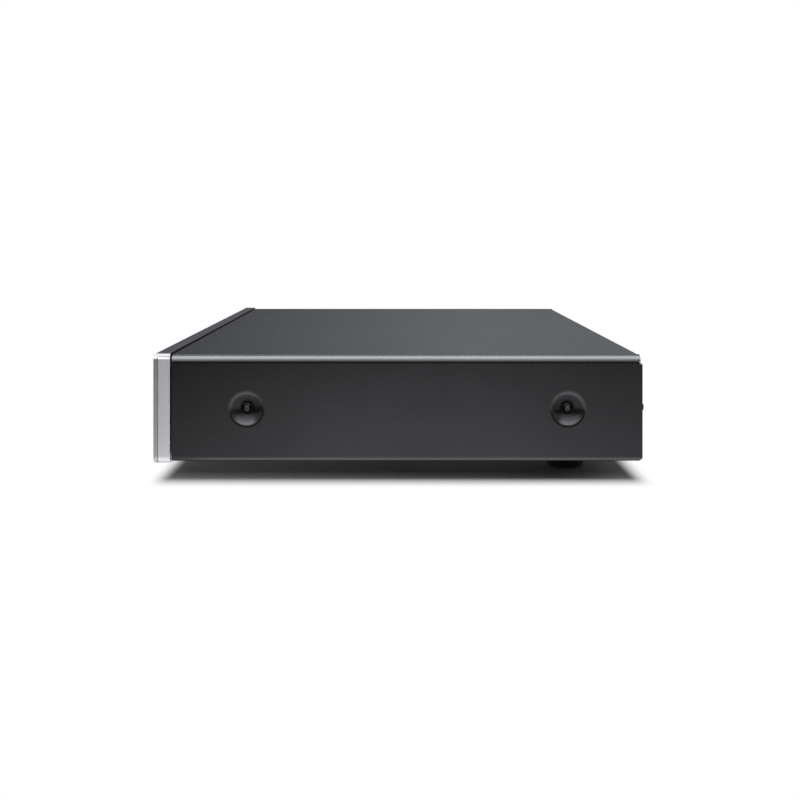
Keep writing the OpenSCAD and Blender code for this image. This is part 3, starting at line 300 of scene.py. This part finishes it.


# Painted shade: the bowl and the seat round the screw are darkened towards black.
bowl = paint.maths("SUBTRACT", 1.0, dimple_zone(BOWL_SHADE_ZONE, BOWL_SHADE_LEAN))
bowl = paint.maths("MULTIPLY", paint.span(above, *LOW_IN_BOWL), bowl)
lit = paint.maths("MULTIPLY", paint.maths("SUBTRACT", 1.0, bowl), dimple_zone(SEAT_SHADE_ZONE, SEAT_SHADE_LEAN))
# Painted highlight: the upper lip is given a lighter colour.
lip = paint.maths("MULTIPLY", dimple_zone(LIP_HIGHLIGHT_ZONE), paint.span(above, *UPPER_HALF))
paint.set(Base_Color=paint.mix(lit, BLACK, paint.mix(lip, paint.coat(), LIP_HIGHLIGHT_COAT)))

# Cover screws: black heads, with paler metal in a ring round the recess and at the rim as a painted
# highlight.
RING_HIGHLIGHT_ZONE = ((0.48, 0.9), (0.56, 0.0), (0.84, 0.0), (0.93, 0.6))
RING_HIGHLIGHT_STEEL = (0.10, 0.10, 0.105)
BLACKING = 0.7

head_steel = grained("screw heads", (0.016, 0.016, 0.017), roughness=0.36, edge=0.0002,
                     blotch=400.0, spread=0.3, metallic=1.0)
head_reach = from_dimple(head_steel)[0]
# Painted highlight: paler metal round the recess and at the rim.
ring_highlight = head_steel.ramp(head_steel.span(head_reach, 0.0, head_r), *RING_HIGHLIGHT_ZONE)
blacked = head_steel.mix(BLACKING, head_steel.coat(), BLACK)
head_steel.set(Base_Color=head_steel.mix(ring_highlight, blacked, RING_HIGHLIGHT_STEEL))

# Front panel: brushed dark anodising, with the ends machined bare.
BARE_FACING = (0.36, 0.46)  # how far a face has to turn to the side to be bare
BARE_METAL = (0.635, 0.642, 0.672)
ANODISED_TINT = (0.42, 0.43, 0.45)

panel = brushed("panel anodised", (0.10, 0.101, 0.105), roughness=0.36, edge=0.00025,
                stretch=(10.0, 2200.0, 2200.0))
facing = panel.axes(panel.add("ShaderNodeNewGeometry").outputs["True Normal"])[0]
bare = panel.span(panel.maths("ABSOLUTE", facing), *BARE_FACING)
panel.set(Base_Color=panel.mix(bare, panel.coat(), BARE_METAL))
panel.set(Specular_Tint=panel.mix(bare, ANODISED_TINT, WHITE))

# Plain metals.
silver = grained("satin aluminium", (0.915, 0.925, 0.965), roughness=0.45, edge=0.0003,
                 spread=0.03, strength=0.12, metallic=1.0)
bright = grained("bright plating", (0.70, 0.70, 0.71), roughness=0.22, edge=0.0002,
                 spread=0.04, strength=0.1, metallic=1.0)
dark_steel = grained("dark steel", (0.016, 0.016, 0.017), roughness=0.42, edge=0.0002,
                     blotch=400.0, spread=0.3, metallic=1.0)
brass = grained("plated brass", (0.72, 0.58, 0.30), roughness=0.24, edge=0.0002,
                blotch=300.0, spread=0.06, strength=0.1, metallic=1.0)
sink_black = brushed("heat sink black", (0.03, 0.03, 0.03), roughness=0.45, edge=0.0002,
                     stretch=(1800.0, 12.0, 1800.0))

# Buttons and knob: satin anodised aluminium, the knob turned in fine rings.
control = brushed("control metal", (0.15, 0.15, 0.16), roughness=0.32, edge=0.0004,
                  stretch=(60.0, 2600.0, 2600.0))

knob_metal = Graph("turned knob")
x, _, z = knob_metal.axes_from(knob_at)
turned = knob_metal.rings(knob_metal.distance(x, z), 9000.0)
knob_metal.set(Base_Color=knob_metal.two_tone(turned, (0.13, 0.13, 0.14), (0.18, 0.18, 0.19)))
knob_metal.set(Metallic=1.0, Roughness=knob_metal.vary(turned, 0.22, 0.34))
knob_metal.bump(turned, depth=0.00001, strength=0.35, edge=0.0003)

# Zinc-plated steel with a faint spangle.
zinc = Graph("zinc steel")
spangle = zinc.cells(170.0)
zinc.set(Base_Color=zinc.ramp(spangle, (0.2, (0.46, 0.47, 0.48)), (0.8, (0.58, 0.59, 0.60))))
zinc.set(Metallic=1.0, Roughness=zinc.span(spangle, 0.0, 1.0, 0.30, 0.46))
zinc.bump(zinc.noise(900.0), depth=0.00001, strength=0.2, edge=0.0002)

# Rubber and plastics.
rubber = grained("foot rubber", (0.007, 0.007, 0.0075), roughness=0.72, edge=0.0003,
                 blotch=60.0, grain=1500.0, spread=0.2, depth=0.00004, strength=0.4)
rubber.set(Specular_IOR_Level=0.15)
moulded = grained("moulded black", (0.018, 0.018, 0.019), roughness=0.46, edge=0.0002,
                  blotch=50.0, grain=2200.0, spread=0.12)
rocker_plastic = grained("rocker plastic", (0.015, 0.015, 0.016), roughness=0.22, edge=0.0003,
                         blotch=80.0, strength=0.06)
pale = grained("pale plastic", (0.72, 0.68, 0.58), roughness=0.5, edge=0.0002,
               blotch=120.0, spread=0.05)
frosted = grained("frosted plastic", (0.75, 0.78, 0.80), roughness=0.35, edge=0.0001,
                  blotch=600.0, spread=0.04)
amber = grained("amber window", (0.55, 0.26, 0.03), roughness=0.3, edge=0.0,
                blotch=900.0, spread=0.08)
green = grained("green window", (0.10, 0.42, 0.10), roughness=0.3, edge=0.0,
                blotch=900.0, spread=0.08)

# Smoked acrylic: gloss black, the display's screen a shade paler behind it.
SCREEN_HALF_X, SCREEN_HALF_Z, SCREEN_FADE = 0.050, 0.013, 0.0005

acrylic = Graph("smoked acrylic")


def on_screen(offset, half):
    return acrylic.span(acrylic.maths("ABSOLUTE", offset),
                        half - SCREEN_FADE, half + SCREEN_FADE, 1.0, 0.0)


x, _, z = acrylic.axes_from(window_at)
screen = acrylic.maths("MULTIPLY", on_screen(x, SCREEN_HALF_X), on_screen(z, SCREEN_HALF_Z))
acrylic.set(Base_Color=acrylic.mix(screen, (0.006, 0.006, 0.007), (0.014, 0.016, 0.018)))
acrylic.set(Roughness=acrylic.vary(acrylic.noise(60.0), 0.05, 0.09))

# Circuit boards: solder mask over fine tracks; what stands above the board's face is darker.
MASK_GREEN, TRACK_GREEN = (0.010, 0.062, 0.034), (0.020, 0.120, 0.062)
CHIP_BLACK = (0.014, 0.014, 0.015)
FACE_CLEAR, FACE_FADE = 0.0001, 0.0002  # above the face, where the darker colour sets in


def tracks(g, pitch, direction, patch, lines=(0.55, 0.62), fields=(0.48, 0.52), detail=3.0):
    line = g.rise(g.bands(pitch, direction), *lines)
    return g.maths("MULTIPLY", line, g.rise(g.noise(patch, detail=detail), *fields))


def solder_mask(g, laid):
    g.set(Roughness=g.span(laid, 0.0, 1.0, 0.38, 0.30))
    return g.mix(laid, MASK_GREEN, TRACK_GREEN)


board = Graph("circuit board")
laid = board.maths("MAXIMUM", tracks(board, 130.0, "X", 90.0),
                   tracks(board, 110.0, "Y", 70.0, (0.6, 0.66), (0.5, 0.54), detail=1.0))
height = board.axes(board.place())[2]
chip = board.span(height, board_top + FACE_CLEAR, board_top + FACE_FADE)
board.set(Base_Color=board.mix(chip, solder_mask(board, laid), CHIP_BLACK))
board.bump(laid, depth=0.00003, strength=0.4)

control_green = Graph("control circuit board")
laid = tracks(control_green, 120.0, "Z", 80.0)
control_green.set(Base_Color=solder_mask(control_green, laid))

# Network module: black headers, then its blue board, then a metal can, from the bottom up.
BLUE_LEVEL, CAN_LEVEL = 0.38, 0.6

module = Graph("network module")
level = module.span(module.axes(module.place())[2], net_low[2], net_high[2])
module.set(Base_Color=module.ramp(level, (0.0, (0.016, 0.016, 0.017)),
                                  (BLUE_LEVEL, (0.012, 0.05, 0.09)),
                                  (CAN_LEVEL, (0.62, 0.62, 0.60)), step=True))
module.set(Metallic=module.span(level, CAN_LEVEL - 0.01, CAN_LEVEL))
module.set(Roughness=module.vary(module.noise(500.0), 0.28, 0.4))

# Transformer: overlapping turns of amber film.
winding = Graph("amber winding")
x, y, _ = winding.axes_from(core_at)
wraps = winding.rings(winding.maths("ARCTAN2", y, x), 26.0)
winding.set(Base_Color=winding.two_tone(wraps, (0.30, 0.16, 0.03), (0.52, 0.31, 0.09)))
winding.set(Roughness=winding.vary(wraps, 0.25, 0.45))
winding.bump(wraps, depth=0.0004, strength=0.6)

# Leads: brown, green and blue by their place; the low-voltage leads red and black in turn.
LEAD_BROWN, LEAD_GREEN = (0.11, 0.045, 0.018), (0.07, 0.20, 0.03)
LEAD_BLUE, LEAD_RED, LEAD_BLACK = (0.02, 0.06, 0.30), (0.30, 0.02, 0.015), (0.02, 0.02, 0.02)
LEADS_BEFORE_INLET, LEADS_PAST_INLET = 0.012, 0.046

leads = Graph("mains lead insulation")
x = leads.axes(leads.place())[0]
along = leads.span(x, inlet_x - LEADS_BEFORE_INLET, inlet_x + LEADS_PAST_INLET)
leads.set(Base_Color=leads.ramp(along, (0.0, LEAD_BROWN), (0.15, LEAD_GREEN),
                                (0.26, LEAD_BLUE), (0.6, LEAD_BROWN), step=True))
low_leads = Graph("lead insulation")
low_leads.set(Base_Color=low_leads.ramp(low_leads.bands(62.8, "Y"), (0.0, LEAD_RED),
                                        (0.5, LEAD_BLACK), step=True))
for g in (leads, low_leads):
    g.set(Roughness=g.vary(g.noise(700.0), 0.4, 0.55))

ribbon = Graph("ribbon cable")
ribs = ribbon.bands(250.0, "X")
ribbon.set(Base_Color=ribbon.ramp(ribs, (0.1, (0.42, 0.42, 0.41)), (0.6, (0.62, 0.62, 0.60))))
ribbon.set(Roughness=0.5)
ribbon.bump(ribs, depth=0.0002, strength=0.8)

# Phono inserts: orange for the digital socket, white and red for the analogue pair.
inserts = Graph("phono inserts")
along = inserts.span(inserts.axes(inserts.place())[0], phono_low[0], phono_high[0])
inserts.set(Base_Color=inserts.ramp(along, (0.0, (0.62, 0.20, 0.02)), (0.3, (0.74, 0.73, 0.70)),
                                    (0.75, (0.48, 0.02, 0.02)), step=True))
inserts.set(Roughness=inserts.vary(inserts.noise(800.0), 0.32, 0.44))


# Which node has which finish.

finish = {
    paint: ["top_cover", "rear_panel", "base_tray"],
    panel: ["front_panel"],
    silver: ["end_cap_left", "end_cap_right"],
    control: ["standby_button", "button_left_upper", "button_left_middle", "button_left_lower",
              "button_right_upper", "button_right_middle", "button_right_lower"],
    knob_metal: ["knob"],
    zinc: ["encoder_body", "encoder_nut", "core_washer", "core_bolt", "rear_brackets",
           "clinch_nuts", "encoder_shaft", "board_screws"],
    bright: ["ethernet_jack", "usb_sockets"],
    dark_steel: ["rear_screws", "base_screws", "panel_screws", "foot_screws"],
    head_steel: ["cover_screws"],
    rubber: ["foot_front_left", "foot_front_right", "foot_rear_left", "foot_rear_right",
             "foot_rings"],
    acrylic: ["display_window", "ir_window"],
    frosted: ["status_light"],
    moulded: ["display_module", "tact_switches", "capacitors", "terminal_blocks", "mains_inlet",
              "mains_switch", "phono_housings"],
    rocker_plastic: ["rocker"],
    board: ["main_board", "power_board"],
    control_green: ["control_board"],
    module: ["network_module"],
    pale: ["board_connectors", "encoder_plunger"],
    ribbon: ["ribbon_cable"],
    winding: ["ring_core"],
    leads: ["mains_leads"],
    low_leads: ["inner_leads"],
    brass: ["inlet_pins", "phono_collars", "standoffs"],
    inserts: ["phono_inserts"],
    sink_black: ["heat_sink"],
}
missing = set(nodes).difference(*finish.values())
if missing:
    raise SystemExit(f"no finish for {sorted(missing)}")
for g, names in finish.items():
    for name in names:
        slots = nodes[name].data.materials
        slots.clear()
        slots.append(g.material)


# Small pieces that the solids leave out.

def piece(name, shape, g, body):
    mesh = bpy.data.meshes.new(name)
    shape.to_mesh(mesh)
    shape.free()
    mesh.materials.append(g.material)
    made = bpy.data.objects.new(name, mesh)
    scene.collection.objects.link(made)
    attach(made, body)


def add_bar(shape, centre, size, bevel):
    matrix = Matrix.Translation(centre) @ Matrix.Diagonal((*size, 1.0))
    made = bmesh.ops.create_cube(shape, size=1.0, matrix=matrix)
    edges = list({edge for vert in made["verts"] for edge in vert.link_edges})
    bmesh.ops.bevel(shape, geom=edges, offset=bevel, segments=2, profile=0.5, affect="EDGES")


def add_wire(shape, path, radius, sides=8):
    across = Vector((1.0, 0.0, 0.0))
    angles = [2 * math.pi * s / sides for s in range(sides)]
    rings = []
    for k, point in enumerate(path):
        ahead = Vector(path[min(k + 1, len(path) - 1)]) - Vector(path[max(k - 1, 0)])
        ahead.normalize()
        up = ahead.cross(across).normalized()
        spokes = [math.cos(a) * across + math.sin(a) * up for a in angles]
        rings.append([shape.verts.new(Vector(point) + radius * spoke) for spoke in spokes])
    for first, second in zip(rings, rings[1:]):
        for s in range(sides):
            t = (s + 1) % sides
            shape.faces.new((first[s], first[t], second[t], second[s]))
    shape.faces.new(reversed(rings[0]))
    shape.faces.new(rings[-1])
    bmesh.ops.recalc_face_normals(shape, faces=shape.faces[:])


# Network socket: eight sprung contacts and two indicator windows.
CONTACTS, CONTACT_PITCH, CONTACT_R = 8, 0.00102, 0.00022
CONTACT_BACK, CONTACT_FRONT = 0.0128, 0.0022  # behind the socket's face
MOUTH_FLOOR = 0.0016
LIGHT_ASIDE, LIGHT_PROUD, LIGHT_DROP = 0.0056, 0.00005, 0.0019
LIGHT_SIZE, LIGHT_BEVEL = (0.0028, 0.0005, 0.0016), 0.0002

jack_low, jack_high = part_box("ethernet_jack")
jack_x = (jack_low[0] + jack_high[0]) / 2
mouth_z = jack_low[2] + MOUTH_FLOOR
back, front = jack_high[1] - CONTACT_BACK, jack_high[1] - CONTACT_FRONT
# Each bend of a contact: its place along Y and its height over the mouth's floor.
contact_line = [(back, 0.0048), (back + 0.003, 0.0040), (front - 0.002, 0.0016),
                (front - 0.001, 0.0009), (front, 0.0004)]
shape = bmesh.new()
for k in range(CONTACTS):
    x = jack_x + (k - (CONTACTS - 1) / 2) * CONTACT_PITCH
    add_wire(shape, [(x, y, mouth_z + up) for y, up in contact_line], CONTACT_R)
piece("ethernet_contacts", shape, brass, "case")

for name, side, g in (("ethernet_light_left", -1, green), ("ethernet_light_right", 1, amber)):
    shape = bmesh.new()
    centre = (jack_x + side * LIGHT_ASIDE, jack_high[1] + LIGHT_PROUD, jack_high[2] - LIGHT_DROP)
    add_bar(shape, centre, LIGHT_SIZE, LIGHT_BEVEL)
    piece(name, shape, g, "case")

# USB sockets: four contact strips under each tongue.
STRIPS, STRIP_PITCH = 4, 0.0024
STRIP_BACK, STRIP_RISE = 0.0044, 0.00298
STRIP_SIZE, STRIP_BEVEL = (0.0011, 0.0052, 0.00012), 0.00003
USB_HALF = 0.0067

usb_low, usb_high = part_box("usb_sockets")
shape = bmesh.new()
for x in (usb_low[0] + USB_HALF, usb_high[0] - USB_HALF):
    for k in range(STRIPS):
        strip_x = x + (k - (STRIPS - 1) / 2) * STRIP_PITCH
        add_bar(shape, (strip_x, usb_high[1] - STRIP_BACK, usb_low[2] + STRIP_RISE),
                STRIP_SIZE, STRIP_BEVEL)
piece("usb_contacts", shape, brass, "case")


# Floor. The camera sees it white, with the case's own shadow; the shadow's fading edge is painted
# by a mask, and a darker floor colour seen by the camera paints the shadow deeper. The painted
# shadow is lifted a little towards its edges, least beside the rear feet. The case sees a painted
# glow in the floor instead, with a painted light line close by: painted reflections low on its
# sides.

FLOOR_HALF = 30.0
FLOOR_WHITE, PAINTED_SHADOW_GREY = (0.9, 0.9, 0.9), (0.54, 0.54, 0.54)
SHADOW_MIDDLE_Y = 0.002
SHADOW_EDGE_X = (0.2055, 0.235, 1.0, 0.0, "SMOOTHSTEP")
SHADOW_EDGE_Y = (0.1355, 0.1495, 1.0, 0.0, "SMOOTHSTEP")
LIFT_X = (0.185, 0.207, 0.01, 0.07)
LIFT_Y = (0.0, 0.13, 0.0, 0.02)
LIFT_REACH_Y = (-0.14, 0.14)
LIFT_ALONG_Y = ((0.0, 1.0), (0.5, 0.6), (0.84, 0.12), (0.9, 0.25), (0.97, 0.7))
PATTERN_HALF_X, PATTERN_HALF_Y = 0.214, 0.165
PATTERN_REACH_Y = (-0.4, 0.4)
PATTERN_ALONG_Y = ((0.1, 0.1), (0.28, 0.5), (0.45, 1.0), (0.6, 1.0), (0.8, 0.6))
PATTERN_NEAR = (0.0, 0.12, 1.0, 0.0)
PATTERN_START = (-0.016, 0.0)
LINE_START, LINE_END = (-0.008, 0.0), (0.006, 0.02, 1.1, 0.0)
LINE_ALONG_Y = (-0.13, -0.11)
FAR_SIDE = (0.15, 0.2, 0.9, 0.0)


def flat_sheet(name, corners):
    mesh = bpy.data.meshes.new(name)
    mesh.from_pydata(corners, [], [(0, 1, 2, 3)])
    made = bpy.data.objects.new(name, mesh)
    scene.collection.objects.link(made)
    return made


def painted_floor_shadow(g, x, y):
    """Painted shadow: 1 in the full shadow under the case, 0 on the white floor."""
    length = g.maths("ABSOLUTE", x)
    aside = g.maths("ABSOLUTE", g.maths("SUBTRACT", y, SHADOW_MIDDLE_Y))
    under = g.maths("MULTIPLY", g.span(length, *SHADOW_EDGE_X), g.span(aside, *SHADOW_EDGE_Y))
    # Painted light that lifts the shadow towards its edges.
    lift = g.maths("ADD", g.span(length, *LIFT_X), g.span(aside, *LIFT_Y))
    lift = g.maths("MULTIPLY", lift, g.ramp(g.span(y, *LIFT_REACH_Y), *LIFT_ALONG_Y))
    return g.maths("MULTIPLY", under, g.maths("SUBTRACT", 1.0, lift))


def painted_floor_reflection(g, x, y):
    """Painted reflection: the glow that the case's sides see in the floor, with a painted light
    line close by.
    """
    outside = g.maths("MAXIMUM", g.maths("SUBTRACT", g.maths("ABSOLUTE", x), PATTERN_HALF_X),
                      g.maths("SUBTRACT", g.maths("ABSOLUTE", y), PATTERN_HALF_Y))
    wide = g.ramp(g.span(y, *PATTERN_REACH_Y), *PATTERN_ALONG_Y)
    pattern = g.maths("MAXIMUM", wide, g.span(outside, *PATTERN_NEAR))
    pattern = g.maths("MULTIPLY", pattern, g.span(outside, *PATTERN_START))
    line = g.maths("MULTIPLY", g.span(outside, *LINE_START), g.span(outside, *LINE_END))
    line = g.maths("MULTIPLY", line, g.span(y, *LINE_ALONG_Y))
    return g.maths("MAXIMUM", g.maths("ADD", pattern, line), g.span(x, *FAR_SIDE))


floor = flat_sheet("floor", [(-FLOOR_HALF, -FLOOR_HALF, 0), (FLOOR_HALF, -FLOOR_HALF, 0),
                             (FLOOR_HALF, FLOOR_HALF, 0), (-FLOOR_HALF, FLOOR_HALF, 0)])
g = Graph("floor")
x, y, _ = g.axes(g.place())
rays = g.add("ShaderNodeLightPath").outputs
glossy = rays["Is Glossy Ray"]
seen = g.maths("MAXIMUM", rays["Is Camera Ray"], rays["Is Transmission Ray"])
whitened = g.maths("MULTIPLY", g.maths("SUBTRACT", 1.0, painted_floor_shadow(g, x, y)), seen)
# The camera sees a darker floor colour, which paints the shadow under the case deeper.
g.set(Base_Color=g.mix(seen, FLOOR_WHITE, PAINTED_SHADOW_GREY), Roughness=0.9, Specular_IOR_Level=0.0)
glow = g.add("ShaderNodeEmission")
mixed = g.add("ShaderNodeMixShader")
# Glossy rays see the painted reflection glow; the camera sees white.
g.plug(g.mix(glossy, WHITE, painted_floor_reflection(g, x, y)), glow.inputs["Color"])
g.plug(g.maths("MAXIMUM", whitened, glossy), mixed.inputs["Fac"])
g.plug(g.shader.outputs["BSDF"], mixed.inputs[1])
g.plug(glow.outputs["Emission"], mixed.inputs[2])
g.plug(mixed.outputs["Shader"], g.output.inputs["Surface"])
floor.data.materials.append(g.material)


# World: white to the camera and in reflections, dim as a light.

WORLD_LIGHT = 0.15

world = bpy.data.worlds.new("world")
scene.world = world
world.use_nodes = True
sky = Tree(world.node_tree)
background = sky.tree.nodes["Background"]
rays = sky.add("ShaderNodeLightPath").outputs
seen = sky.maths("MAXIMUM", rays["Is Camera Ray"], rays["Is Glossy Ray"])
seen = sky.maths("MAXIMUM", seen, rays["Is Transmission Ray"])
sky.plug(sky.span(seen, 0.0, 1.0, WORLD_LIGHT, 1.0), background.inputs["Strength"])
sky.plug(rgba(WHITE), background.inputs["Color"])


# Lamps. The overhead lamp lights the floor; the others show only in reflections.

def softbox(name, place, target, size, power):
    lamp = bpy.data.lights.new(name, "AREA")
    lamp.shape = "RECTANGLE"
    lamp.size, lamp.size_y = size
    lamp.energy = power
    made = bpy.data.objects.new(name, lamp)
    made.location = place
    towards = Vector(target) - Vector(place)
    made.rotation_euler = towards.to_track_quat("-Z", "Y").to_euler()
    scene.collection.objects.link(made)
    return made


overhead = softbox("overhead", (0.25, 0.0, 2.0), target=(0.2, 0.0, 0.0), size=(2.2, 2.6),
                   power=38.0)
strip = softbox("strip", (0.36, -0.05, 1.45), target=(0.2, -0.05, 0.07), size=(2.6, 1.3),
                power=80.0)
skirt = softbox("skirt", (1.22, -0.05, 1.16), target=(0.2, -0.05, 0.07), size=(2.6, 0.58),
                power=10.5)
rim = softbox("rim", (-0.9, 0.4, 1.2), target=(0.2, 0.0, 0.07), size=(2.6, 0.9), power=17.0)
crown = softbox("crown", (0.0, 0.0, 1.5), target=(0.2, 0.0, 0.07), size=(1.2, 1.2), power=1.8)
overhead.visible_glossy = False
for lamp in (strip, skirt, rim, crown):
    lamp.visible_diffuse = False


def link_lamp(lamp, names, state):
    group = bpy.data.collections.new(lamp.name + " receivers")
    for name in names:
        group.objects.link(nodes[name])
    for held in group.collection_objects:
        held.light_linking.link_state = state
    lamp.light_linking.receiver_collection = group


# The bare metal is flagged from the strong lamps, and the crown lights it alone.
caps = ["end_cap_left", "end_cap_right"]
link_lamp(strip, caps + ["front_panel"], "EXCLUDE")
link_lamp(rim, caps, "EXCLUDE")
link_lamp(crown, caps + ["front_panel"], "INCLUDE")


# Upright sheets that the camera does not see: a dark card in front of the case's side, and a
# far backdrop that the top reflects, dimmer towards the front of the case and near the floor.

CARD_X, CARD_HALF, CARD_HEIGHT, CARD_SHADE = 0.85, 3.0, 0.36, 0.03
FAR_X, FAR_HALF, FAR_HEIGHT = -2.5, 4.0, 1.0
FAR_REACH_Y = (-0.8, 0.8)
FAR_ALONG_Y = ((0.0, (0.08, 0.082, 0.086)), (0.62, (0.97, 0.98, 1.0)), (1.0, (0.83, 0.84, 0.86)))
FAR_STRENGTH = (0.2, 0.48, 0.02, 0.87)


def upright(name, x, half, height):
    made = flat_sheet(name, [(x, -half, 0.0), (x, half, 0.0),
                             (x, half, height), (x, -half, height)])
    made.visible_camera = False
    return made


card = upright("card", CARD_X, CARD_HALF, CARD_HEIGHT)
g = Graph("card")
g.set(Base_Color=rgba(CARD_SHADE), Roughness=1.0, Specular_IOR_Level=0.0)
card.data.materials.append(g.material)

far = upright("far", FAR_X, FAR_HALF, FAR_HEIGHT)
far.visible_diffuse = False
g = Graph("far")
_, y, z = g.axes(g.place())
glow = g.add("ShaderNodeEmission")
g.plug(g.ramp(g.span(y, *FAR_REACH_Y), *FAR_ALONG_Y), glow.inputs["Color"])
g.plug(g.span(z, *FAR_STRENGTH), glow.inputs["Strength"])
g.plug(glow.outputs["Emission"], g.output.inputs["Surface"])
far.data.materials.append(g.material)
